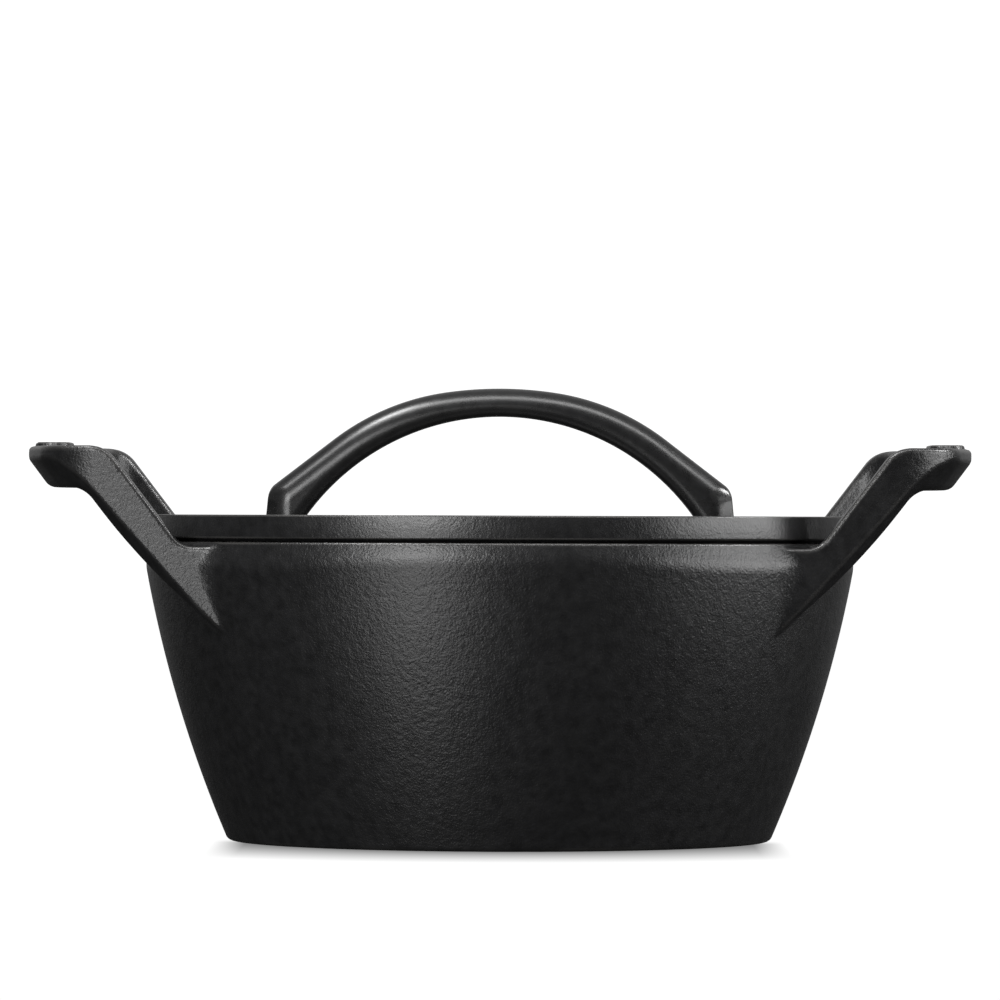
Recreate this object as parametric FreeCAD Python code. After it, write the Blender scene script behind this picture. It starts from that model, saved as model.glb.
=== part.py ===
import FreeCAD, Part
import math
import os

# A cast iron dutch oven: a tapered pot with two raised loop handles, a flat lid that drops into its rim,
# and an arched handle screwed to the lid from below. Millimetres, +Z up.
# Origin: the centre of the flat base, in the plane that the pot stands on. X runs through the loop handles.

Vector = FreeCAD.Vector
UP = Vector(0, 0, 1)

# ---- Driving dimensions ----

# Bowl
base_radius = 108.3  # where the line of the outer wall meets the base
base_edge_radius = 2.8
rim_height = 119.3
rim_radius = 142.0  # at the lower edge of the rim band, where the bowl is widest
wall_bulge_radius = 500.0  # the wall's section is one long shallow arc
wall = 4.0
floor_thickness = 4.8
floor_corner_radius = 16.0
rim_width = 6.0
rim_band_height = 6.8
rim_band_lean = 1.2  # how far the band leans in by its top
rim_edge_radius = 0.9

# Loop handles, cast with the bowl
grip_projection = 46.0  # outermost point of the grip beyond the rim
grip_rise = 37.3  # from the rim to the grip's top
grip_thickness = 16.2
grip_width = 22.0
grip_bow_radius = 260.0  # the grip bows outward in plan
grip_corner_radius = 28.0  # in plan, between the bow and the struts
grip_face_height = 5.0  # upright part of its outer face; below it the face leans in
grip_lean_angle = 36.7
strut_spacing = 158.0  # between the middles of a loop's two struts where they leave the rim
strut_taper = 6.0  # how far each strut turns in towards the grip, in degrees
strut_width = 14.0
strut_slope = 52.7
strut_thickness = 16.6
strut_top_projection = 12.0  # beyond the rim, where the strut's upper face would meet the grip's top
strut_top_radius = 13.0
strut_under_radius = 12.0
knee_drop = 7.3  # this far below the rim, the strut's underside flattens towards the bowl
knee_radius = 250.0
root_slope = 41.0
root_dip = 2.0  # the strut's upper face runs out this far below the rim
root_radius = 10.0
bevel_width = 4.6  # bevel along the lower outer edge of each strut, measured on its outer face
bevel_slope = 47.0
bevel_tilt = 45.0
opening_corner_radius = 14.0
loop_edge_radius = 1.6
pad_length = 36.0
pad_width = 14.0
pad_height = 1.8
pad_setback = 3.0  # from the grip's outer face
pad_edge_radius = 0.7

# Lid
lid_setback = 1.5  # the lid's edge from the rim's widest point
lid_gap = 1.2  # shadow gap between the rim and the lid's overhanging edge
lid_band_height = 9.3
lid_under_edge_radius = 1.4
lid_top_edge_radius = 0.8
lid_seat_overhang = 2.2  # the seat ends this far inside the lid's edge
lid_clearance = 1.0  # radial, between the locating flange and the rim
flange_depth = 5.0
flange_thickness = 4.0
lid_plate = 4.2
lid_recess = 2.6
lid_border = 6.5

# Arched lid handle
arch_clear_height = 39.5  # from the lid's border to the underside of the crown
arch_thickness = 11.25  # at the crown
arch_width = 20.0
arch_inner_radius = 95.2
arch_crown_radius = 150.0
arch_crown_half_angle = 8.43
arch_shoulder_radius = 96.0
arch_flank_slope = 37.5
arch_edge_radius = 4.4
foot_reach = 92.4  # the upper outer corner of a foot from the pot's axis
foot_lean = 5.7
foot_bevel_length = 7.0  # bevel on each upright outer corner of a foot, along X
foot_bevel_width = 6.0  # and along Y

# Fasteners under the lid
screw_diameter = 6.0
screw_engagement = 9.0  # length of thread inside a foot
screw_head_diameter = 11.0
screw_head_height = 3.6
screw_head_edge_radius = 0.8
drive_across_flats = 4.0
drive_depth = 2.0
screw_hole_clearance = 0.3  # radial, in the lid and in the washer
washer_diameter = 14.0
washer_thickness = 1.2
washer_bend_radius = 0.3

# ---- Derived places ----

rim_inner_radius = rim_radius - rim_width
grip_reach = rim_radius + grip_projection
grip_top = rim_height + grip_rise
strut_top_reach = rim_radius + strut_top_projection
knee_height = rim_height - knee_drop
lid_radius = rim_radius - lid_setback
strut_inner = (strut_spacing - strut_width) / 2
strut_outer = (strut_spacing + strut_width) / 2
strut_start = math.sqrt(rim_radius**2 - strut_outer**2)
grip_under = grip_top - grip_thickness
bow_axis_x = grip_reach - grip_bow_radius
lid_edge_under = rim_height + lid_gap
lid_top = lid_edge_under + lid_band_height
lid_face = lid_top - lid_recess
lid_plate_under = lid_face - lid_plate
seat_radius = lid_radius - lid_seat_overhang
flange_radius = rim_inner_radius - lid_clearance
arch_crown_under = lid_top + arch_clear_height
arch_crown_top = arch_crown_under + arch_thickness


def rise(length, slope):
    """Height gained over a horizontal length at a slope in degrees."""
    return length * math.tan(math.radians(slope))


def in_side(point, y=0.0):
    """A point of the XZ plane, moved to y."""
    return Vector(point[0], y, point[1])


def rounded_wire(corners, place):
    """A closed wire through corners of (u, v, radius), each rounded by a tangent arc where radius isn't 0."""
    edges = []
    ends = []
    for index, (u, v, radius) in enumerate(corners):
        here = Vector(u, v, 0)
        before = Vector(*corners[index - 1][:2], 0)
        after = Vector(*corners[(index + 1) % len(corners)][:2], 0)
        back = (before - here).normalize()
        on = (after - here).normalize()
        half = back.getAngle(on) / 2
        start = here + back * (radius / math.tan(half))
        end = here + on * (radius / math.tan(half))
        if radius:
            inward = (back + on).normalize()
            middle = here + inward * (radius / math.sin(half) - radius)
            edges.append(Part.Arc(*(place(p) for p in (start, middle, end))).toShape())
        ends.append((start, end))
    for index, (_, end) in enumerate(ends):
        following = ends[(index + 1) % len(ends)][0]
        if end.distanceToPoint(following) > 1e-6:
            edges.append(Part.makeLine(place(end), place(following)))
    return Part.Wire(Part.__sortEdges__(edges))


def extruded(wire, direction):
    return Part.Face(wire).extrude(direction)


def revolved(edges, x=0.0):
    """A solid turned about the upright axis through (x, 0)."""
    return Part.Face(Part.Wire(edges)).revolve(Vector(x, 0, 0), UP, 360)


def polyline(points):
    return [Part.makeLine(in_side(a), in_side(b)) for a, b in zip(points, points[1:])]


def edges_where(shape, test):
    return [edge for edge in shape.Edges if test(edge)]


def is_ring(edge, radius, z):
    """True for a level circle about the pot's axis."""
    box = edge.BoundBox
    return abs(box.XMax - radius) < 0.01 and abs(box.ZMax - z) < 0.01 and box.ZLength < 0.01


def mirrored(shape):
    return shape.mirror(Vector(0, 0, 0), Vector(1, 0, 0))


# ---- Pot ----


def wall_arc_centre():
    """Centre of the outer wall's arc in the XZ plane, beyond the axis so that the wall bulges outward."""
    bottom = Vector(base_radius, 0, 0)
    top = Vector(rim_radius, 0, rim_height - rim_band_height)
    chord = top - bottom
    inward = Vector(-chord.z, 0, chord.x).normalize()
    depth = math.sqrt(wall_bulge_radius**2 - (chord.Length / 2) ** 2)
    return (bottom + top) / 2 + inward * depth


def wall_x(z, inset=0.0):
    """Radius of the wall at height z, inset from its outer face."""
    centre = wall_arc_centre()
    return centre.x + math.sqrt((wall_bulge_radius - inset) ** 2 - (z - centre.z) ** 2)


def wall_edge(low, high, inset=0.0):
    heights = (low, (low + high) / 2, high)
    return Part.Arc(*(Vector(wall_x(z, inset), 0, z) for z in heights)).toShape()


def rim_turn_height():
    """Where the inner wall reaches the rim's inner radius and turns upright."""
    centre = wall_arc_centre()
    return centre.z - math.sqrt((wall_bulge_radius - wall) ** 2 - (rim_inner_radius - centre.x) ** 2)


def bowl_outside():
    band_low = rim_height - rim_band_height
    band_top = rim_radius - rim_band_lean
    edges = polyline([(0, rim_height), (0, 0), (base_radius, 0)])
    edges.append(wall_edge(0, band_low))
    edges += polyline([(rim_radius, band_low), (band_top, rim_height), (0, rim_height)])
    solid = revolved(edges)
    solid = solid.makeFillet(base_edge_radius, edges_where(solid, lambda e: is_ring(e, base_radius, 0)))
    return solid.makeFillet(rim_edge_radius, edges_where(solid, lambda e: is_ring(e, band_top, rim_height)))


def bowl_cavity():
    """The space inside the bowl, run up past the rim."""
    turn = rim_turn_height()
    top = grip_top
    edges = polyline([(0, top), (0, floor_thickness), (wall_x(floor_thickness, wall), floor_thickness)])
    edges.append(wall_edge(floor_thickness, turn, wall))
    edges += polyline([(rim_inner_radius, turn), (rim_inner_radius, top), (0, top)])
    solid = revolved(edges)
    corner = wall_x(floor_thickness, wall)
    return solid.makeFillet(
        floor_corner_radius, edges_where(solid, lambda e: is_ring(e, corner, floor_thickness))
    )


def bent_plate():
    """The side view of a loop, drawn out along Y: level grip, sloping strut, root inside the bowl."""
    beyond = grip_reach + grip_width
    root_x = math.sqrt(base_radius**2 - strut_outer**2)
    ledge = rim_height - root_dip
    ledge_x = strut_top_reach - (grip_top - ledge) / rise(1, strut_slope)
    slope = math.radians(strut_slope)
    under_x = strut_top_reach + strut_thickness * math.sin(slope)
    under_z = grip_top - strut_thickness * math.cos(slope)
    elbow_x = under_x - (under_z - grip_under) / rise(1, strut_slope)
    knee_x = under_x - (under_z - knee_height) / rise(1, strut_slope)
    corners = [
        (beyond, grip_top, 0),
        (beyond, grip_under, 0),
        (elbow_x, grip_under, strut_under_radius),
        (knee_x, knee_height, knee_radius),
        (root_x, knee_height - rise(knee_x - root_x, root_slope), 0),
        (root_x, ledge, 0),
        (ledge_x, ledge, root_radius),
        (strut_top_reach, grip_top, strut_top_radius),
    ]
    wire = rounded_wire(corners, lambda p: Vector(p.x, -rim_radius, p.y))
    return extruded(wire, Vector(0, 2 * rim_radius, 0)), knee_x


def past_side(point):
    """How far a point lies outside the nearer strut's outer face."""
    taper = math.radians(strut_taper)
    return (abs(point.y) - strut_outer) * math.cos(taper) + (point.x - strut_start) * math.sin(taper)


def loop_end():
    """Turned about the grip's bow axis: all that lies inside the grip's upright and leaning outer faces."""
    face_low = grip_top - grip_face_height
    lean = rise(face_low - grip_under, grip_lean_angle)
    drop = knee_height / 2
    edge_x = bow_axis_x + grip_bow_radius
    corners = [
        (bow_axis_x, grip_top + pad_height, 0),
        (bow_axis_x, drop, 0),
        (edge_x - lean, drop, 0),
        (edge_x - lean, grip_under, 0),
        (edge_x, face_low, loop_edge_radius),
        (edge_x, grip_top + pad_height, 0),
    ]
    wire = rounded_wire(corners, lambda p: Vector(p.x, 0, p.y))
    return Part.Face(wire).revolve(Vector(bow_axis_x, 0, 0), UP, 360)


def plan_block(side_y, reach, corner_radius):
    """An upright block between two sides that draw together towards the grip, its end bowed at this reach.

    side_y is each side's distance from the middle where the struts leave the rim.
    """
    taper = math.radians(strut_taper)
    axis = Vector(bow_axis_x, 0, 0)
    along = Vector(math.cos(taper), -math.sin(taper), 0)
    outward = Vector(math.sin(taper), math.cos(taper), 0)
    offset = Vector(strut_start, side_y, 0) - outward * corner_radius - axis
    run = offset.dot(along)
    centre_reach = reach - corner_radius
    centre = axis + offset + along * (math.sqrt(run**2 - offset.dot(offset) + centre_reach**2) - run)
    turn = math.atan2(centre.y, centre.x - bow_axis_x)

    def on_corner(angle, side):
        x = centre.x + corner_radius * math.cos(angle)
        return Vector(x, side * (centre.y + corner_radius * math.sin(angle)), 0)

    root_y = side_y + rise(strut_start, strut_taper)
    edges = [Part.makeLine(Vector(0, -root_y, 0), Vector(0, root_y, 0))]
    side_turn = math.pi / 2 - taper
    for side in (-1, 1):
        points = [on_corner(angle, side) for angle in (side_turn, (side_turn + turn) / 2, turn)]
        edges.append(Part.makeLine(Vector(0, side * root_y, 0), points[0]))
        edges.append(Part.Arc(*points).toShape())
    ends = [on_corner(turn, side) for side in (-1, 1)]
    edges.append(Part.Arc(ends[0], Vector(bow_axis_x + reach, 0, 0), ends[1]).toShape())
    return extruded(Part.Wire(Part.__sortEdges__(edges)), UP * (grip_top + pad_height))


def bevel_block(knee_x):
    """A block whose face is the bevel on the lower outer edge of the strut at +Y."""
    slope = math.radians(bevel_slope)
    along = Vector(math.cos(slope), 0, math.sin(slope))
    outward = Vector(math.sin(slope), 0, -math.cos(slope))
    tilt = math.radians(bevel_tilt)
    normal = outward * math.sin(tilt) + Vector(0, math.cos(tilt), 0)
    across = normal.cross(along)
    size = grip_reach
    corner = Vector(knee_x, strut_outer - rise(knee_x - strut_start, strut_taper), knee_height)
    start = corner - outward * bevel_width
    frame = FreeCAD.Matrix(
        along.x, across.x, normal.x, start.x,
        along.y, across.y, normal.y, start.y,
        along.z, across.z, normal.z, start.z,
        0, 0, 0, 1,
    )  # fmt: skip
    block = Part.makeBox(2 * size, 2 * size, size, Vector(-size, -size, 0))
    block.Placement = FreeCAD.Placement(frame)
    block.rotate(corner, UP, -strut_taper)
    return block


def raised_pad():
    """A plain rounded pad, cast on top of the grip."""
    middle_x = grip_reach - pad_setback - pad_width / 2
    half = pad_length / 2
    radius = pad_width / 2 * 0.98
    corners = [
        (middle_x - pad_width / 2, -half, radius),
        (middle_x + pad_width / 2, -half, radius),
        (middle_x + pad_width / 2, half, radius),
        (middle_x - pad_width / 2, half, radius),
    ]
    base = grip_top - pad_height
    wire = rounded_wire(corners, lambda p: Vector(p.x, p.y, base))
    solid = extruded(wire, UP * (2 * pad_height))
    top = grip_top + pad_height
    return solid.makeFillet(pad_edge_radius, edges_where(solid, lambda e: e.BoundBox.ZMin > top - 0.01))


def facing(shape, edge):
    """The middle of an edge, and how far up each face beside it looks there, the lower one first."""
    middle = edge.valueAt((edge.FirstParameter + edge.LastParameter) / 2)
    faces = shape.ancestorsOfType(edge, Part.Face)
    return middle, sorted(face.normalAt(*face.Surface.parameter(middle)).z for face in faces)


def is_upper_edge(loop, edge):
    """True for the edges around the loop's upper face, outside and inside the opening."""
    middle, looks = facing(loop, edge)
    slope = math.radians(strut_slope)
    under_top = grip_top - middle.z
    under_strut = under_top * math.cos(slope) - (strut_top_reach - middle.x) * math.sin(slope)
    near_top = min(under_top, under_strut) < strut_thickness / 2
    return near_top and middle.x > strut_outer and abs(looks[0]) < 0.1 and looks[-1] > 0.3


def is_bevel_edge(edge):
    """True for the crease between a strut's outer face and its bevel."""
    on_face = all(abs(past_side(vertex.Point)) < 0.01 for vertex in edge.Vertexes)
    return on_face and min(edge.BoundBox.XLength, edge.BoundBox.ZLength) > grip_top - knee_height


def loop_handle():
    """The loop at +X."""
    plate, knee_x = bent_plate()
    loop = plate.common(plan_block(strut_outer, grip_bow_radius, grip_corner_radius))
    loop = loop.cut(plan_block(strut_inner, grip_bow_radius - grip_width, opening_corner_radius))
    loop = loop.common(loop_end())
    block = bevel_block(knee_x)
    loop = loop.cut(block)
    loop = loop.cut(block.mirror(Vector(0, 0, 0), Vector(0, 1, 0)))
    loop = loop.makeFillet(loop_edge_radius, edges_where(loop, is_bevel_edge))
    return loop.makeFillet(loop_edge_radius, edges_where(loop, lambda e: is_upper_edge(loop, e)))


def make_pot():
    outside = bowl_outside()
    cavity = bowl_cavity()
    loop = loop_handle().fuse(raised_pad())
    body = outside.fuse([loop, mirrored(loop)]).cut(cavity)
    return body.removeSplitter()


# ---- Lid ----


def make_lid():
    border_x = lid_radius - lid_border
    flange_low = rim_height - flange_depth
    edges = polyline(
        [
            (0, lid_face),
            (0, lid_plate_under),
            (flange_radius - flange_thickness, lid_plate_under),
            (flange_radius - flange_thickness, flange_low),
            (flange_radius, flange_low),
            (flange_radius, rim_height),
            (seat_radius, rim_height),
            (seat_radius, lid_edge_under),
            (lid_radius, lid_edge_under),
            (lid_radius, lid_top),
            (border_x, lid_top),
            (border_x - lid_recess, lid_face),
            (0, lid_face),
        ]
    )
    lid = revolved(edges)
    for radius, z in ((lid_under_edge_radius, lid_edge_under), (lid_top_edge_radius, lid_top)):
        lid = lid.makeFillet(radius, edges_where(lid, lambda e: is_ring(e, lid_radius, z)))
    hole_radius = screw_diameter / 2 + screw_hole_clearance
    for side in (-1, 1):
        at = Vector(side * foot_middle, 0, lid_plate_under)
        lid = lid.cut(Part.makeCylinder(hole_radius, lid_plate, at))
    return lid


# ---- Arched handle ----


def arch_side():
    """Outline of the arch seen from the front, from the foot at +X over the crown to the foot at -X."""
    inner_centre = arch_crown_under - arch_inner_radius
    inner_foot = math.sqrt(arch_inner_radius**2 - (lid_face - inner_centre) ** 2)
    crown = math.radians(arch_crown_half_angle)
    flank = math.radians(arch_flank_slope)
    crown_centre = arch_crown_top - arch_crown_radius
    crown_end = (arch_crown_radius * math.sin(crown), crown_centre + arch_crown_radius * math.cos(crown))
    shoulder_centre = (
        crown_end[0] - arch_shoulder_radius * math.sin(crown),
        crown_end[1] - arch_shoulder_radius * math.cos(crown),
    )

    def on_shoulder(angle, side):
        x = shoulder_centre[0] + arch_shoulder_radius * math.sin(angle)
        return (side * x, shoulder_centre[1] + arch_shoulder_radius * math.cos(angle))

    flank_start = on_shoulder(flank, 1)
    corner = (foot_reach, flank_start[1] - rise(foot_reach - flank_start[0], arch_flank_slope))
    toe = (foot_reach + rise(corner[1] - lid_face, foot_lean), lid_face)
    edges = polyline([(inner_foot, lid_face), toe, corner, flank_start])
    edges += polyline([(-x, z) for x, z in ((inner_foot, lid_face), toe, corner, flank_start)])
    for side in (-1, 1):
        points = (on_shoulder(a, side) for a in (crown, (crown + flank) / 2, flank))
        edges.append(Part.Arc(*(in_side(p) for p in points)).toShape())
    ends = [in_side((side * crown_end[0], crown_end[1])) for side in (-1, 1)]
    edges.append(Part.Arc(ends[0], Vector(0, 0, arch_crown_top), ends[1]).toShape())
    feet = [in_side((side * inner_foot, lid_face)) for side in (-1, 1)]
    edges.append(Part.Arc(feet[0], Vector(0, 0, arch_crown_under), feet[1]).toShape())
    return Part.Wire(Part.__sortEdges__(edges)), inner_foot, toe[0]


def is_long_edge(edge):
    """True for the arch's edges that run along the bar, at its front or back face."""
    box = edge.BoundBox
    upright = box.XLength < foot_reach / 10 and box.ZMax < lid_face + arch_clear_height / 2
    on_lid = box.ZMax < lid_face + 0.01
    return box.YLength < 0.01 and not upright and not on_lid


def make_arch():
    wire, inner_foot, toe_x = arch_side()
    wire.translate(Vector(0, -arch_width / 2, 0))
    arch = extruded(wire, Vector(0, arch_width, 0))
    arch = arch.makeFillet(arch_edge_radius, edges_where(arch, is_long_edge))
    for x_side in (-1, 1):
        for y_side in (-1, 1):
            corners = (
                (toe_x - foot_bevel_length, arch_width / 2),
                (toe_x, arch_width / 2 - foot_bevel_width),
                (toe_x + foot_bevel_length, arch_width / 2 - foot_bevel_width),
                (toe_x + foot_bevel_length, arch_width / 2 + foot_bevel_width),
                (toe_x - foot_bevel_length, arch_width / 2 + foot_bevel_width),
            )
            points = [Vector(x_side * x, y_side * y, lid_face) for x, y in corners]
            outline = Part.makePolygon(points + points[:1])
            arch = arch.cut(extruded(outline, UP * arch_clear_height))
        at = Vector(x_side * foot_middle, 0, lid_face)
        arch = arch.cut(Part.makeCylinder(screw_diameter / 2, screw_engagement, at))
    return arch


# ---- Fasteners ----


def make_screw():
    """The pan head screw at +X, entering the foot from below."""
    head_top = lid_plate_under - washer_thickness
    head_low = head_top - screw_head_height
    at = Vector(foot_middle, 0, head_low)
    head = Part.makeCylinder(screw_head_diameter / 2, screw_head_height, at)
    head = head.makeFillet(
        screw_head_edge_radius, edges_where(head, lambda e: e.BoundBox.ZMax < head_low + 0.01)
    )
    corner = drive_across_flats / 2 / math.cos(math.pi / 6)
    turns = [n * math.pi / 3 for n in range(7)]
    points = [at + Vector(corner * math.cos(turn), corner * math.sin(turn), 0) for turn in turns]
    head = head.cut(extruded(Part.makePolygon(points), UP * drive_depth))
    length = washer_thickness + lid_plate + screw_engagement
    shank = Part.makeCylinder(screw_diameter / 2, length, Vector(foot_middle, 0, head_top))
    return head.fuse(shank)


def make_washer():
    """The flat washer at +X, against the underside of the lid."""
    at = Vector(foot_middle, 0, lid_plate_under - washer_thickness)
    disc = Part.makeCylinder(washer_diameter / 2, washer_thickness, at)
    disc = disc.makeFillet(washer_bend_radius, edges_where(disc, lambda e: e.BoundBox.XLength > 1))
    return disc.cut(Part.makeCylinder(screw_diameter / 2 + screw_hole_clearance, washer_thickness, at))


foot_middle = sum(arch_side()[1:]) / 2

os.makedirs("parts", exist_ok=True)
screw = make_screw()
washer = make_washer()
pieces = {
    "pot": make_pot(),
    "lid": make_lid(),
    "lid_handle": make_arch(),
    "lid_screw_right": screw,
    "lid_screw_left": mirrored(screw),
    "lid_washer_right": washer,
    "lid_washer_left": mirrored(washer),
}
for name, shape in pieces.items():
    shape.exportStep(f"parts/{name}.step")
    print(f"{name}: {len(shape.Solids)} solid, {shape.Volume / 1000:.1f} cm3, valid {shape.isValid()}")
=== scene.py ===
import math

import bpy
import numpy as np
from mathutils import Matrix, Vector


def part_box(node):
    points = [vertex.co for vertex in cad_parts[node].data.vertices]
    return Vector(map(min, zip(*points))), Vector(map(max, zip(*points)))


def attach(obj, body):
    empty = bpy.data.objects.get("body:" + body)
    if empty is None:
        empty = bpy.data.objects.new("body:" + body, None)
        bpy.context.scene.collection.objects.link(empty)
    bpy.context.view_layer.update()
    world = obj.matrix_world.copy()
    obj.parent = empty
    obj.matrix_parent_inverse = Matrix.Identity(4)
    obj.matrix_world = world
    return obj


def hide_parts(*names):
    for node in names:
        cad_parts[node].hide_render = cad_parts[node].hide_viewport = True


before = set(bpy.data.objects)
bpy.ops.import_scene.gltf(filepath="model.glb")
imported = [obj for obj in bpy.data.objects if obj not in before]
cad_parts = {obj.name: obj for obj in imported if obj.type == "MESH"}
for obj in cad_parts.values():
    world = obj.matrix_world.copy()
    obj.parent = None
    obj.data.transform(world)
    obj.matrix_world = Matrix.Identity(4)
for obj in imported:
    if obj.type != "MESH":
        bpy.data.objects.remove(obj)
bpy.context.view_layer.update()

import openvdb

# The dutch oven's castings are described as signed distances in millimetres, in the CAD frame, meshed on a
# fine grid and drawn onto the exact surface. Their sizes are those of the CAD model, and the blends and turns,
# which may differ from it, have a section of their own.

MM = 0.001

# ---- Sizes, in millimetres and degrees: from the frame, or the CAD model's own ----

POT_LOW, POT_HIGH = (np.array(corner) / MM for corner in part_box("pot"))
LID_LOW, LID_HIGH = (np.array(corner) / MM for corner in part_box("lid"))
ARCH_LOW, ARCH_HIGH = (np.array(corner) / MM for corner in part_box("lid_handle"))

GRIP_REACH = POT_HIGH[0]
RIM_RADIUS = POT_HIGH[1]
PAD_TOP = POT_HIGH[2]
LID_RADIUS = LID_HIGH[1]
LID_TOP = LID_HIGH[2]
LID_LOWEST = LID_LOW[2]
ARCH_TOP = ARCH_HIGH[2]
LID_FACE = ARCH_LOW[2]
ARCH_WIDTH = ARCH_HIGH[1] - ARCH_LOW[1]
TOE = ARCH_HIGH[0]

RIM_HEIGHT = 119.3
BASE_RADIUS = 108.3
BASE_EDGE = 2.8
WALL_BULGE = 500.0
WALL = 4.0
FLOOR = 4.8
FLOOR_CORNER = 16.0
RIM_INNER = 136.0
BAND_HEIGHT = 6.8
BAND_LEAN = 1.2
RIM_EDGE = 0.9

GRIP_TOP = 156.6
GRIP_UNDER = 140.4
GRIP_WIDTH = 22.0
BOW = 260.0
GRIP_FACE = 5.0
GRIP_CORNER, GRIP_CORNER_TURN = 28.0, 67.0
GRIP_LEAN = 36.7
STRUT_INNER = 72.0
STRUT_OUTER = 86.0
STRUT_START = math.sqrt(RIM_RADIUS**2 - STRUT_OUTER**2)
ROOT_END = math.sqrt(BASE_RADIUS**2 - STRUT_OUTER**2)
STRUT_SLOPE = 52.7
STRUT_THICKNESS = 16.6
STRUT_TOP_REACH = 154.0
KNEE_HEIGHT = 112.0
ROOT_SLOPE = 41.0
LEDGE = 117.3
BEVEL = 4.6
BEVEL_SLOPE = 47.0
PAD_SETBACK, PAD_WIDTH, PAD_LENGTH = 3.0, 14.0, 36.0

LID_EDGE_UNDER = 120.5
FLANGE_RADIUS = 135.0
FLANGE_THICKNESS = 4.0
LID_PLATE = 4.2
LID_BORDER = 6.5

CROWN_UNDER = LID_TOP + 39.5
ARCH_INNER_RADIUS = 95.2
CROWN_RADIUS, CROWN_HALF_ANGLE = 150.0, 8.43
SHOULDER_RADIUS = 96.0
FLANK_SLOPE = 37.5
FOOT_REACH = 92.4
FOOT_LEAN = 5.7
FOOT_BEVEL_LENGTH, FOOT_BEVEL_WIDTH = 7.0, 6.0

# ---- Blends and turns, which may differ from the CAD model's, in millimetres and degrees ----

# Near the loops the rim's band is set back by up to this much, over this stretch of X.
RIM_DRAW_IN = 0.9
DRAW_IN_FROM, DRAW_IN_OVER = 40.0, 65.0
BAND_BLEND, BAND_TURN = 14.0, 22.0
CAVITY_BLEND, CAVITY_TURN = 6.0, 15.0
FLOOR_TURN = 68.0

# The struts turn in towards the grip and lean in towards their lower edge.
STRUT_TAPER, STRUT_DRAFT = 8.5, 6.0
LEDGE_BLEND = 10.0
SHOULDER_BLEND = 13.0
STRUT_UNDER_BEND = 250.0
KNEE_BLEND = 12.0
BEVEL_BLEND, BEVEL_TURN = 20.0, 60.0
BEVEL_EDGE, BEVEL_EDGE_TURN = 3.0, 42.0
LOWER_EDGE, LOWER_EDGE_TURN = 5.0, 55.0
UPPER_EDGE = 1.8
OPENING_CORNER = 14.0
OPENING_EDGE = 2.2
PAD_EDGE = 0.8
PAD_DEPTH = 4.0

# Where a strut meets the bowl the corner is filled by the crease, and on the strut's front by the blend as
# well. The blend ends near the rim and near the strut's lower tip.
ROOT_CREASE, ROOT_BLEND = 1.5, 11.0
ROOT_TURN = 60.0
BLEND_UNDER_RIM, BLEND_LEAST = 10.0, 0.1
FRONT_FADE, FRONT_LEAST = 7.0, 0.25
BLEND_LOWEST, BLEND_RISE = 80.0, 34.0

# The lid's seat slopes, so that the gap under the lid's edge is dark.
SEAT_FOOT, SEAT_HEAD = 136.8, 138.8

ARCH_UPPER_EDGE, ARCH_LOWER_EDGE = 9.0, 5.0
FOOT_EDGE, FOOT_EDGE_TURN = 2.5, 40.0
FOOT_TOP_EDGE, FOOT_TOP_TURN = 2.2, FLANK_SLOPE + 50.0


# ---- Signed distances ----


def both(a, b, radius=0.0, turn=90.0):
    """Inside both: the edge where the surface turns by this angle is rounded to the radius."""
    cosine = math.cos(math.radians(turn))
    a, b = a + radius, b + radius
    near_edge = (a > cosine * b) & (b > cosine * a)
    squared = (a * a + b * b - 2 * cosine * a * b) / (1 - cosine**2)
    return np.where(near_edge, np.sqrt(np.maximum(squared, 0)), np.maximum(a, b)) - radius


def either(a, b, radius=0.0, turn=90.0):
    """Inside one or the other: the inner corner is filled to the radius."""
    return -both(-a, -b, radius, turn)


def slope_normal(degrees):
    """Unit normal of a line that rises at this slope, looking down and outward."""
    angle = math.radians(degrees)
    return math.sin(angle), -math.cos(angle)


def wall_centre():
    """Centre (radius, height) of the long arc that is the outer wall's section."""
    top = np.array([RIM_RADIUS, RIM_HEIGHT - BAND_HEIGHT])
    bottom = np.array([BASE_RADIUS, 0.0])
    chord = top - bottom
    length = np.hypot(*chord)
    inward = np.array([-chord[1], chord[0]]) / length
    return (bottom + top) / 2 + inward * math.sqrt(WALL_BULGE**2 - (length / 2) ** 2)


def bowl_outside(r, z, draw_in=0.0):
    """draw_in is how far the rim's band is set back, which makes it taller."""
    centre = wall_centre()
    wall = np.hypot(r - centre[0], z - centre[1]) - WALL_BULGE
    base_turn = math.degrees(math.acos(centre[1] / WALL_BULGE))
    body = both(wall, -z, BASE_EDGE, base_turn)
    lean = math.atan2(BAND_LEAN, BAND_HEIGHT)
    band = (r - RIM_RADIUS + draw_in) * math.cos(lean) + (z - RIM_HEIGHT + BAND_HEIGHT) * math.sin(lean)
    body = both(body, band, BAND_BLEND, BAND_TURN)
    return both(body, z - RIM_HEIGHT, RIM_EDGE)


def bowl_cavity(r, z):
    centre = wall_centre()
    wall = np.hypot(r - centre[0], z - centre[1]) - (WALL_BULGE - WALL)
    upright = both(wall, r - RIM_INNER, CAVITY_BLEND, CAVITY_TURN)
    return both(upright, FLOOR - z, FLOOR_CORNER, FLOOR_TURN)


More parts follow.
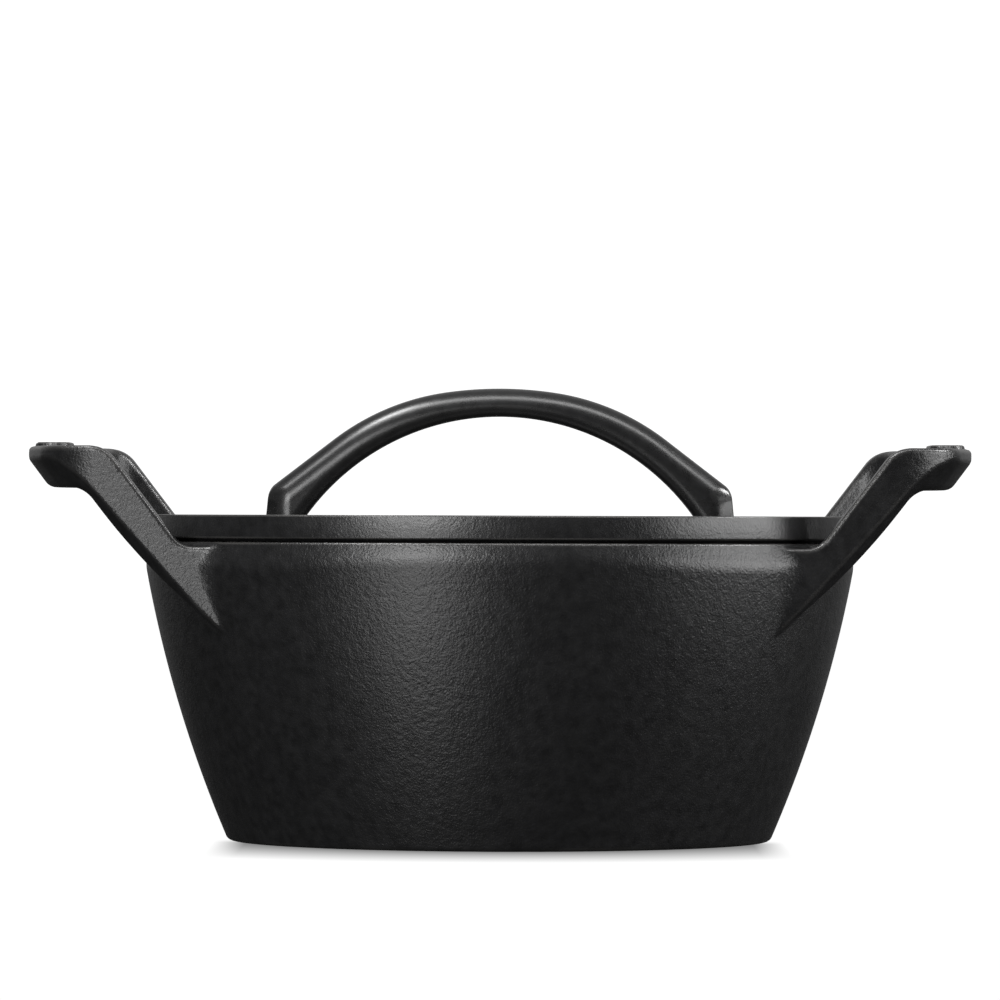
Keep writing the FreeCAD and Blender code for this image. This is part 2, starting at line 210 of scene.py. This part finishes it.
def strut_faces(x, z):
    """The strut's upper face, its lower face with the root's, and its knee's X."""
    up_x, up_z = slope_normal(STRUT_SLOPE)
    upper = -up_x * (x - STRUT_TOP_REACH) - up_z * (z - GRIP_TOP)
    under_x = STRUT_TOP_REACH + STRUT_THICKNESS * up_x
    under_z = GRIP_TOP + STRUT_THICKNESS * up_z
    knee_x = under_x - (under_z - KNEE_HEIGHT) / math.tan(math.radians(STRUT_SLOPE))
    root_x, root_z = slope_normal(ROOT_SLOPE)
    strut_under = up_x * (x - knee_x) + up_z * (z - KNEE_HEIGHT)
    root_under = root_x * (x - knee_x) + root_z * (z - KNEE_HEIGHT)
    under = both(strut_under, root_under, STRUT_UNDER_BEND, STRUT_SLOPE - ROOT_SLOPE)
    return upper, under, knee_x


def loop_handle(x, y, z):
    """The loop at +X and +Y, and how far a point is on a strut's front, from 0 to 1.

    x and y are distances from the middle planes.
    """
    strut_upper, struts_under, knee_x = strut_faces(x, z)
    ledge = either(strut_upper, z - LEDGE, LEDGE_BLEND, STRUT_SLOPE)
    upper = both(z - GRIP_TOP, ledge, SHOULDER_BLEND, STRUT_SLOPE)
    under = either(GRIP_UNDER - z, struts_under, KNEE_BLEND, STRUT_SLOPE)
    bow = np.hypot(x - (GRIP_REACH - BOW), y)
    taper = math.radians(STRUT_TAPER)
    outward = y * math.cos(taper) + (x - STRUT_START) * math.sin(taper)
    draft = (z - KNEE_HEIGHT) * math.sin(math.radians(STRUT_DRAFT))
    side = outward - STRUT_OUTER * math.cos(taper) - draft
    upright = both(bow - BOW, side, GRIP_CORNER, GRIP_CORNER_TURN)
    lean = math.radians(GRIP_LEAN)
    end_lean = (bow - BOW) * math.cos(lean) + (GRIP_TOP - GRIP_FACE - z) * math.sin(lean)
    bevel_x, bevel_z = slope_normal(BEVEL_SLOPE)
    bevel = (bevel_x * (x - knee_x) + bevel_z * (z - KNEE_HEIGHT) + BEVEL + side) * math.sqrt(0.5)
    leaning = both(end_lean, bevel, BEVEL_BLEND, BEVEL_TURN)
    outline = both(upright, leaning, BEVEL_EDGE, BEVEL_EDGE_TURN)
    loop = both(both(outline, under, LOWER_EDGE, LOWER_EDGE_TURN), upper, UPPER_EDGE)
    opening_side = side + STRUT_OUTER - STRUT_INNER
    opening = both(opening_side, bow - (BOW - GRIP_WIDTH), OPENING_CORNER, GRIP_CORNER_TURN)
    loop = both(both(loop, -opening, OPENING_EDGE), ROOT_END - x)
    front = np.clip((side - np.maximum(under, bevel)) / FRONT_FADE + FRONT_LEAST, 0, 1)
    return loop, front


def raised_pad(x, y, z):
    """A plain pad with round ends on top of the grip."""
    radius = PAD_WIDTH / 2
    middle = GRIP_REACH - PAD_SETBACK - radius
    along = np.maximum(y - (PAD_LENGTH / 2 - radius), 0)
    outline = np.hypot(x - middle, along) - radius
    return both(both(outline, z - PAD_TOP, PAD_EDGE), GRIP_TOP - PAD_DEPTH - z)


def pot(x, y, z):
    x, y = np.abs(x), np.abs(y)
    r = np.hypot(x, y)
    loop, front = loop_handle(x, y, z)
    loop = either(loop, raised_pad(x, y, z), PAD_EDGE)
    under_rim = np.clip((RIM_HEIGHT + 1 - z) / BLEND_UNDER_RIM, BLEND_LEAST, 1)
    over_tip = np.clip((z - BLEND_LOWEST) / BLEND_RISE, 0, 1)
    corner = ROOT_CREASE + ROOT_BLEND * front * under_rim * over_tip
    near_loop = np.clip((x - DRAW_IN_FROM) / DRAW_IN_OVER, 0, 1)
    bowl = bowl_outside(r, z, RIM_DRAW_IN * near_loop**2 * (3 - 2 * near_loop))
    body = either(bowl, loop, corner, ROOT_TURN)
    return both(body, -bowl_cavity(r, z), RIM_EDGE)


def arch_outside(x, z, shoulder_x, shoulder_z):
    """The arch's upper side: a flat arc, a tighter arc at its shoulder, then a straight flank."""
    crown, flank = math.radians(CROWN_HALF_ANGLE), math.radians(FLANK_SLOPE)
    turn = np.arctan2(x - shoulder_x, z - shoulder_z)
    on_crown = np.hypot(x, z - ARCH_TOP + CROWN_RADIUS) - CROWN_RADIUS
    on_shoulder = np.hypot(x - shoulder_x, z - shoulder_z) - SHOULDER_RADIUS
    on_flank = (x - shoulder_x) * math.sin(flank) + (z - shoulder_z) * math.cos(flank) - SHOULDER_RADIUS
    return np.where(turn < crown, on_crown, np.where(turn < flank, on_shoulder, on_flank))


def arch(x, y, z):
    x, y = np.abs(x), np.abs(y)
    inner = ARCH_INNER_RADIUS - np.hypot(x, z - (CROWN_UNDER - ARCH_INNER_RADIUS))
    crown, flank = math.radians(CROWN_HALF_ANGLE), math.radians(FLANK_SLOPE)
    shoulder_x = (CROWN_RADIUS - SHOULDER_RADIUS) * math.sin(crown)
    shoulder_z = ARCH_TOP - CROWN_RADIUS + (CROWN_RADIUS - SHOULDER_RADIUS) * math.cos(crown)
    outer = arch_outside(x, z, shoulder_x, shoulder_z)
    side = y - ARCH_WIDTH / 2
    bar = both(both(outer, side, ARCH_UPPER_EDGE), inner, ARCH_LOWER_EDGE)
    start_x = shoulder_x + SHOULDER_RADIUS * math.sin(flank)
    start_z = shoulder_z + SHOULDER_RADIUS * math.cos(flank)
    corner_z = start_z - (FOOT_REACH - start_x) * math.tan(flank)
    lean = math.radians(FOOT_LEAN)
    toe = (x - FOOT_REACH) * math.cos(lean) + (z - corner_z) * math.sin(lean)
    size = math.hypot(FOOT_BEVEL_LENGTH, FOOT_BEVEL_WIDTH)
    bevel = ((x - TOE + FOOT_BEVEL_LENGTH) * FOOT_BEVEL_WIDTH + side * FOOT_BEVEL_LENGTH) / size
    foot = both(both(toe, bevel, FOOT_EDGE, FOOT_EDGE_TURN), LID_FACE - z)
    return both(bar, foot, FOOT_TOP_EDGE, FOOT_TOP_TURN)


# ---- Meshing ----


def gradient(distance, points, step=0.05):
    slopes = []
    for axis in range(3):
        shift = np.zeros(3)
        shift[axis] = step
        ahead = distance(*(points + shift).T)
        behind = distance(*(points - shift).T)
        slopes.append((ahead - behind) / (2 * step))
    return np.stack(slopes, axis=1)


def mark_edges(mesh, bend):
    """Stores how sharply the surface bends at each point, per millimetre, for the wear along edges."""
    mesh.attributes.new("edge", "FLOAT", "POINT").data.foreach_set("value", np.asarray(bend, np.float32))


def casting(name, distance, low, high, pitch, keep=1.0):
    """A mesh of the surface where distance is 0, with its normals from the distance itself."""
    margin = 3 * pitch
    axes = [np.arange(a - margin, b + margin, pitch, dtype=np.float32) for a, b in zip(low, high)]
    x, y, z = np.meshgrid(*axes, indexing="ij", sparse=True)
    values = np.clip(distance(x, y, z), -margin, margin).astype(np.float32)
    grid = openvdb.FloatGrid(margin)
    grid.copyFromArray(values)
    points, quads = grid.convertToQuads(isovalue=0.0)
    points = points.astype(float) * pitch + np.array([a[0] for a in axes])
    mesh = bpy.data.meshes.new(name)
    mesh.from_pydata([], [], [])
    mesh.vertices.add(len(points))
    mesh.vertices.foreach_set("co", (points * MM).ravel())
    mesh.loops.add(quads.size)
    mesh.loops.foreach_set("vertex_index", quads.ravel().astype(np.int32))
    mesh.polygons.add(len(quads))
    mesh.polygons.foreach_set("loop_start", np.arange(0, quads.size, 4, dtype=np.int32))
    mesh.update(calc_edges=True)
    mesh.validate()
    obj = bpy.data.objects.new(name, mesh)
    bpy.context.scene.collection.objects.link(obj)
    if keep < 1.0:
        thin = obj.modifiers.new("thin", "DECIMATE")
        thin.ratio = keep
        with bpy.context.temp_override(object=obj, active_object=obj, selected_objects=[obj]):
            bpy.context.view_layer.objects.active = obj
            bpy.ops.object.modifier_apply(modifier="thin")
    mesh = obj.data
    points = np.zeros(len(mesh.vertices) * 3, np.float32)
    mesh.vertices.foreach_get("co", points)
    points = points.reshape(-1, 3).astype(float) / MM
    for _ in range(3):
        slope = gradient(distance, points)
        slope /= np.maximum(np.sum(slope**2, axis=1, keepdims=True), 0.05)
        points -= np.clip(distance(*points.T)[:, None] * slope, -pitch, pitch)
    normals = gradient(distance, points)
    normals /= np.linalg.norm(normals, axis=1, keepdims=True)
    mesh.vertices.foreach_set("co", (points * MM).ravel())
    mesh.polygons.foreach_set("use_smooth", np.ones(len(mesh.polygons), bool))
    mesh.update()
    mesh.normals_split_custom_set_from_vertices(normals)
    bend = sum(distance(*(points + shift).T) for shift in np.vstack([np.eye(3), -np.eye(3)]))
    mark_edges(mesh, bend)
    return obj


def profile_bends(profile):
    """How sharply a profile turns at each of its points, per millimetre."""
    steps = np.diff(np.vstack([profile[-2:-1], profile, profile[1:2]]), axis=0)
    lengths = np.maximum(np.hypot(*steps.T), 0.05)
    heading = steps / lengths[:, None]
    turning = heading[:-1, 0] * heading[1:, 1] - heading[:-1, 1] * heading[1:, 0]
    return turning * 2 / (lengths[:-1] + lengths[1:])


def turned(name, profile, segments=384):
    """A mesh turned about the Z axis from a closed profile of (radius, height)."""
    profile = np.array(profile, float)
    turns = np.arange(segments) * 2 * math.pi / segments
    rings = []
    for r, z in profile:
        if r < 1e-6:
            rings.append([(0.0, 0.0, z)])
        else:
            rings.append([(r * math.cos(t), r * math.sin(t), z) for t in turns])
    points, starts = [], []
    for ring in rings:
        starts.append(len(points))
        points += ring
    faces = []
    for (a, one), (b, two) in zip(zip(starts, rings), zip(starts[1:], rings[1:])):
        for i in range(segments):
            j = (i + 1) % segments
            if len(one) == 1:
                faces.append((a, b + j, b + i))
            elif len(two) == 1:
                faces.append((a + i, a + j, b))
            else:
                faces.append((a + i, a + j, b + j, b + i))
    mesh = bpy.data.meshes.new(name)
    mesh.from_pydata([tuple(c * MM for c in p) for p in points], [], faces)
    mesh.polygons.foreach_set("use_smooth", np.ones(len(mesh.polygons), bool))
    mesh.update()
    bends = profile_bends(profile)
    mark_edges(mesh, np.concatenate([np.full(len(ring), bend) for ring, bend in zip(rings, bends)]))
    obj = bpy.data.objects.new(name, mesh)
    bpy.context.scene.collection.objects.link(obj)
    return obj


def rounded(corners, steps=6, longest=4.0):
    """An open path through (r, z, radius) corners, each rounded by an arc, with no step over the longest."""
    path = []
    for i, (r, z, radius) in enumerate(corners):
        here = np.array([r, z])
        if not radius:
            path.append(here)
            continue
        back = np.array(corners[i - 1][:2]) - here
        on = np.array(corners[i + 1][:2]) - here
        back, on = back / np.hypot(*back), on / np.hypot(*on)
        half = math.acos(float(np.clip(back @ on, -1, 1))) / 2
        middle = here + (back + on) / np.hypot(*(back + on)) * radius / math.sin(half)
        start, end = (here + d * radius / math.tan(half) - middle for d in (back, on))
        angle = math.atan2(start[1], start[0])
        sweep = (math.atan2(end[1], end[0]) - angle + math.pi) % (2 * math.pi) - math.pi
        for k in range(steps + 1):
            turn = angle + sweep * k / steps
            path.append(middle + radius * np.array([math.cos(turn), math.sin(turn)]))
    filled = [path[0]]
    for point in path[1:]:
        count = max(1, math.ceil(np.hypot(*(point - filled[-1])) / longest))
        start = filled[-1]
        filled += [start + (point - start) * (k + 1) / count for k in range(count)]
    return filled


def make_lid():
    border = LID_RADIUS - LID_BORDER
    recess = LID_TOP - LID_FACE
    plate_under = LID_FACE - LID_PLATE
    corners = [
        (0, plate_under, 0),
        (FLANGE_RADIUS - FLANGE_THICKNESS, plate_under, 2.0),
        (FLANGE_RADIUS - FLANGE_THICKNESS, LID_LOWEST, 1.0),
        (FLANGE_RADIUS, LID_LOWEST, 1.0),
        (FLANGE_RADIUS, RIM_HEIGHT, 0.3),
        (SEAT_FOOT, RIM_HEIGHT, 0.2),
        (SEAT_HEAD, LID_EDGE_UNDER, 0.2),
        (LID_RADIUS, LID_EDGE_UNDER, 0.8),
        (LID_RADIUS, LID_TOP, 0.8),
        (border, LID_TOP, 1.0),
        (border - recess, LID_FACE, 2.0),
        (0, LID_FACE, 0),
    ]
    return turned("lid_casting", rounded(corners))


# ---- Materials: noise scales are per metre ----

PATCH_SCALE, MOTTLE_SCALE = 25.0, 220.0
PATCH_ROUGHNESS, MOTTLE_ROUGHNESS = 0.02, 0.015
# How sharply an edge bends, per millimetre, where its wear starts and where it is full.
WEAR_FROM, WEAR_FULL = 0.15, 0.7
WORN_IRON = (0.035, 0.034, 0.033)

STEEL_DARK, STEEL_LIGHT, STEEL_WORN = (0.46, 0.46, 0.47), (0.54, 0.54, 0.55), (0.66, 0.66, 0.66)
STEEL_MARKS_SCALE, STEEL_MARKS_DEPTH = 900.0, 0.01
STEEL_ROUGHNESS = 0.3, 0.42


def node(tree, kind, **sockets):
    made = tree.nodes.new(kind)
    for name, value in sockets.items():
        made.inputs[name.replace("_", " ")].default_value = value
    return made


def noise(tree, coordinates, scale, detail=2.0, roughness=0.5):
    made = node(tree, "ShaderNodeTexNoise", Scale=scale, Detail=detail, Roughness=roughness)
    tree.links.new(coordinates, made.inputs["Vector"])
    return made.outputs["Fac"]


def ramp(tree, value, low, high, start=0.0, end=1.0):
    """value from low to high becomes start to end."""
    made = tree.nodes.new("ShaderNodeMapRange")
    for name, number in (("From Min", low), ("From Max", high), ("To Min", start), ("To Max", end)):
        made.inputs[name].default_value = number
    tree.links.new(value, made.inputs["Value"])
    return made.outputs["Result"]


def maths(tree, operation, *values):
    made = tree.nodes.new("ShaderNodeMath")
    made.operation = operation
    for socket, value in zip(made.inputs, values):
        if isinstance(value, float):
            socket.default_value = value
        else:
            tree.links.new(value, socket)
    return made.outputs[0]


def product(tree, one, two):
    return maths(tree, "MULTIPLY", one, two)


def mixed(tree, factor, one, two):
    """A colour between two, each a constant or another node's output."""
    made = tree.nodes.new("ShaderNodeMix")
    made.data_type = "RGBA"
    for name, colour in (("A", one), ("B", two)):
        if isinstance(colour, tuple):
            made.inputs[name].default_value = (*colour, 1)
        else:
            tree.links.new(colour, made.inputs[name])
    tree.links.new(factor, made.inputs["Factor"])
    return made.outputs["Result"]


def bumped(tree, height, distance, under=None):
    """A normal bumped by height, over another node's normal if there is one; distance in millimetres."""
    made = node(tree, "ShaderNodeBump", Strength=1.0, Distance=distance * MM)
    tree.links.new(height, made.inputs["Height"])
    if under:
        tree.links.new(under, made.inputs["Normal"])
    return made.outputs["Normal"]


def iron(name, dark, light, rough, grain, pebble):
    """Seasoned cast iron; grain and pebble are each a height in millimetres and a scale per metre."""
    material = bpy.data.materials.new(name)
    material.use_nodes = True
    tree = material.node_tree
    shader = tree.nodes["Principled BSDF"]
    place = tree.nodes.new("ShaderNodeTexCoord").outputs["Object"]
    patches = noise(tree, place, PATCH_SCALE, 4.0)
    mottle = noise(tree, place, MOTTLE_SCALE, 3.0)
    bend = tree.nodes.new("ShaderNodeAttribute")
    bend.attribute_name = "edge"
    edges = ramp(tree, bend.outputs["Fac"], WEAR_FROM, WEAR_FULL)
    worn = product(tree, edges, ramp(tree, patches, 0.4, 0.6, 0.2, 1.0))
    seasoning = mixed(tree, ramp(tree, mottle, 0.3, 0.7), dark, light)
    tree.links.new(mixed(tree, worn, seasoning, WORN_IRON), shader.inputs["Base Color"])
    wide = ramp(tree, patches, 0.3, 0.7, rough - PATCH_ROUGHNESS, rough + PATCH_ROUGHNESS)
    fine = ramp(tree, mottle, 0.3, 0.7, -MOTTLE_ROUGHNESS, MOTTLE_ROUGHNESS)
    tree.links.new(maths(tree, "ADD", wide, fine), shader.inputs["Roughness"])
    normal = None
    for height, scale in (pebble, grain):
        normal = bumped(tree, noise(tree, place, scale), height, normal)
    tree.links.new(normal, shader.inputs["Normal"])
    return material


def steel():
    material = bpy.data.materials.new("screw_steel")
    material.use_nodes = True
    tree = material.node_tree
    shader = tree.nodes["Principled BSDF"]
    shader.inputs["Metallic"].default_value = 1.0
    place = tree.nodes.new("ShaderNodeTexCoord").outputs["Object"]
    marks = noise(tree, place, STEEL_MARKS_SCALE, 4.0)
    worn = ramp(tree, tree.nodes.new("ShaderNodeNewGeometry").outputs["Pointiness"], 0.5, 0.6)
    plain = mixed(tree, ramp(tree, marks, 0.3, 0.7), STEEL_DARK, STEEL_LIGHT)
    tree.links.new(mixed(tree, worn, plain, STEEL_WORN), shader.inputs["Base Color"])
    tree.links.new(ramp(tree, marks, 0.3, 0.7, *STEEL_ROUGHNESS), shader.inputs["Roughness"])
    tree.links.new(bumped(tree, marks, STEEL_MARKS_DEPTH), shader.inputs["Normal"])
    return material


# ---- Stage, in metres and degrees ----

CAMERA_DISTANCE, CAMERA_HEIGHT = 3.0, 0.130
CAMERA_LENS, CAMERA_SHIFT = 270.0, 0.015
CAMERA_ROLL = -0.2
FLOOR_SIZE = 12.0
FLOOR_LIGHT = 1.02
# A painted contact shadow: the floor's glow is darker by this much at the front of the base, which fades to
# nothing over this distance.
SHADOW_DEPTH, SHADOW_REACH = 0.77, 0.09
SHADOW_SIDE_IN, SHADOW_SIDE_OUT, SHADOW_FRONT = 0.008, 0.005, 0.03
LIGHT_DISTANCE = 2.0
LIGHT_AIM = np.array([0, 0, 0.09])


def make_camera():
    camera = bpy.data.objects.new("camera", bpy.data.cameras.new("camera"))
    bpy.context.scene.collection.objects.link(camera)
    bpy.context.scene.camera = camera
    camera.data.sensor_width = 36.0
    camera.data.lens = CAMERA_LENS
    camera.data.clip_end = 50.0
    camera.data.shift_y = CAMERA_SHIFT
    camera.location = (0.0, -CAMERA_DISTANCE, CAMERA_HEIGHT)
    camera.rotation_euler = (math.radians(90), math.radians(CAMERA_ROLL), 0)


def axes_of(tree, place):
    """The X, Y and Z of a place."""
    made = tree.nodes.new("ShaderNodeSeparateXYZ")
    tree.links.new(place, made.inputs[0])
    return [made.outputs[axis] for axis in "XYZ"]


def painted_contact_shadow(tree):
    """How much darker the floor's glow is, as a painted contact shadow: most at the front of the base, nothing
    further out.
    """
    place = tree.nodes.new("ShaderNodeTexCoord").outputs["Object"]
    x, y, _ = axes_of(tree, place)
    radius = node(tree, "ShaderNodeVectorMath")
    radius.operation = "LENGTH"
    tree.links.new(place, radius.inputs[0])
    base = BASE_RADIUS * MM
    outward = ramp(tree, radius.outputs["Value"], base, base + SHADOW_REACH, SHADOW_DEPTH, 0.0)
    across = ramp(tree, maths(tree, "ABSOLUTE", x), base - SHADOW_SIDE_IN, base + SHADOW_SIDE_OUT, 1.0, 0.0)
    forward = ramp(tree, y, -SHADOW_FRONT, 0.0, 1.0, 0.0)
    return product(tree, product(tree, outward, across), forward)


def make_floor():
    """A pale floor that glows white, with a painted contact shadow in front of the base; the lights below its
    level shine through it.
    """
    mesh = bpy.data.meshes.new("floor")
    corners = [(x * FLOOR_SIZE, y * FLOOR_SIZE, 0) for x, y in ((-1, -1), (1, -1), (1, 1), (-1, 1))]
    mesh.from_pydata(corners, [], [(0, 1, 2, 3)])
    floor = bpy.data.objects.new("floor", mesh)
    bpy.context.scene.collection.objects.link(floor)
    material = bpy.data.materials.new("floor")
    material.use_nodes = True
    tree = material.node_tree
    shader = tree.nodes["Principled BSDF"]
    shader.inputs["Base Color"].default_value = (0, 0, 0, 1)
    shader.inputs["Roughness"].default_value = 1.0
    shader.inputs["Specular IOR Level"].default_value = 0.0
    shader.inputs["Emission Color"].default_value = (1, 1, 1, 1)
    # Painted shadow: the floor's emission is lowered in front of the base.
    light = maths(tree, "SUBTRACT", FLOOR_LIGHT, painted_contact_shadow(tree))
    tree.links.new(light, shader.inputs["Emission Strength"])
    mesh.materials.append(material)
    floor.visible_glossy = floor.visible_diffuse = floor.visible_shadow = False


def make_world():
    """White to the camera; to the object, a soft light from above and from behind."""
    world = bpy.data.worlds.new("studio")
    bpy.context.scene.world = world
    world.use_nodes = True
    tree = world.node_tree
    seen = tree.nodes["Background"]
    seen.inputs["Color"].default_value = (1, 1, 1, 1)
    seen.inputs["Strength"].default_value = 1.1
    soft = node(tree, "ShaderNodeBackground", Color=(1, 1, 1, 1))
    _, y, z = axes_of(tree, tree.nodes.new("ShaderNodeTexCoord").outputs["Generated"])
    behind = product(tree, ramp(tree, y, 0.4, 0.9, 0.0, 0.5), ramp(tree, z, -0.15, 0.15))
    above = ramp(tree, z, 0.6, 0.9, 0.02, 0.3)
    tree.links.new(maths(tree, "ADD", above, behind), soft.inputs["Strength"])
    path = tree.nodes.new("ShaderNodeLightPath")
    mix = tree.nodes.new("ShaderNodeMixShader")
    tree.links.new(path.outputs["Is Camera Ray"], mix.inputs[0])
    tree.links.new(soft.outputs[0], mix.inputs[1])
    tree.links.new(seen.outputs[0], mix.inputs[2])
    tree.links.new(mix.outputs[0], tree.nodes["World Output"].inputs["Surface"])


def softbox(name, azimuth, elevation, width, height, power):
    """An area light that faces the pot's middle. Azimuth 0 is in front, positive towards +X."""
    light = bpy.data.lights.new(name, "AREA")
    light.shape = "RECTANGLE"
    light.size, light.size_y = width, height
    light.energy = power
    obj = bpy.data.objects.new(name, light)
    bpy.context.scene.collection.objects.link(obj)
    az, el = math.radians(azimuth), math.radians(elevation)
    towards = np.array([math.sin(az) * math.cos(el), -math.cos(az) * math.cos(el), math.sin(el)])
    obj.location = LIGHT_AIM + LIGHT_DISTANCE * towards
    obj.rotation_euler = (math.radians(90) - el, 0, az)


def make_lights():
    softbox("key", -28, 13, 0.95, 0.8, 26)
    softbox("low_key", -27, -15, 0.8, 0.8, 9)
    softbox("side", 80, 6, 1.7, 0.8, 27)
    softbox("overhead", 0, 72, 3.8, 0.5, 48)
    softbox("high_side", 96, 35, 0.4, 0.4, 22)
    softbox("high_left", -70, 65, 0.4, 0.4, 20)


# ---- The scene ----

make_camera()
make_floor()
make_world()
make_lights()
bpy.context.scene.view_settings.view_transform = "Standard"

dark = (0.007, 0.007, 0.0073)
cast = iron("seasoned_iron", dark, (0.013, 0.013, 0.0135), 0.34, (0.13, 1250), (0.16, 450))
lid_cast = iron("lid_iron", dark, (0.012, 0.012, 0.0125), 0.32, (0.09, 1250), (0.10, 450))
arch_dark = (0.007, 0.007, 0.0072)
smooth = iron("smooth_iron", arch_dark, (0.011, 0.011, 0.0113), 0.28, (0.012, 1500), (0.03, 300))
metal = steel()

pieces = {
    "pot": (casting("pot_casting", pot, POT_LOW, POT_HIGH, 1.2, 0.4), "pot", cast, "seasoned_iron"),
    "lid": (make_lid(), "lid", lid_cast, "seasoned_iron"),
    "lid_handle": (casting("arch_casting", arch, ARCH_LOW, ARCH_HIGH, 0.7), "lid", smooth, "smooth_iron"),
}
for node_name, (piece, body, material, slot) in pieces.items():
    piece.data.materials.append(material)
    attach(piece, body)
    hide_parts(node_name)
for node_name in ("lid_screw_left", "lid_screw_right", "lid_washer_left", "lid_washer_right"):
    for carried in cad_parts[node_name].material_slots:
        carried.material = metal
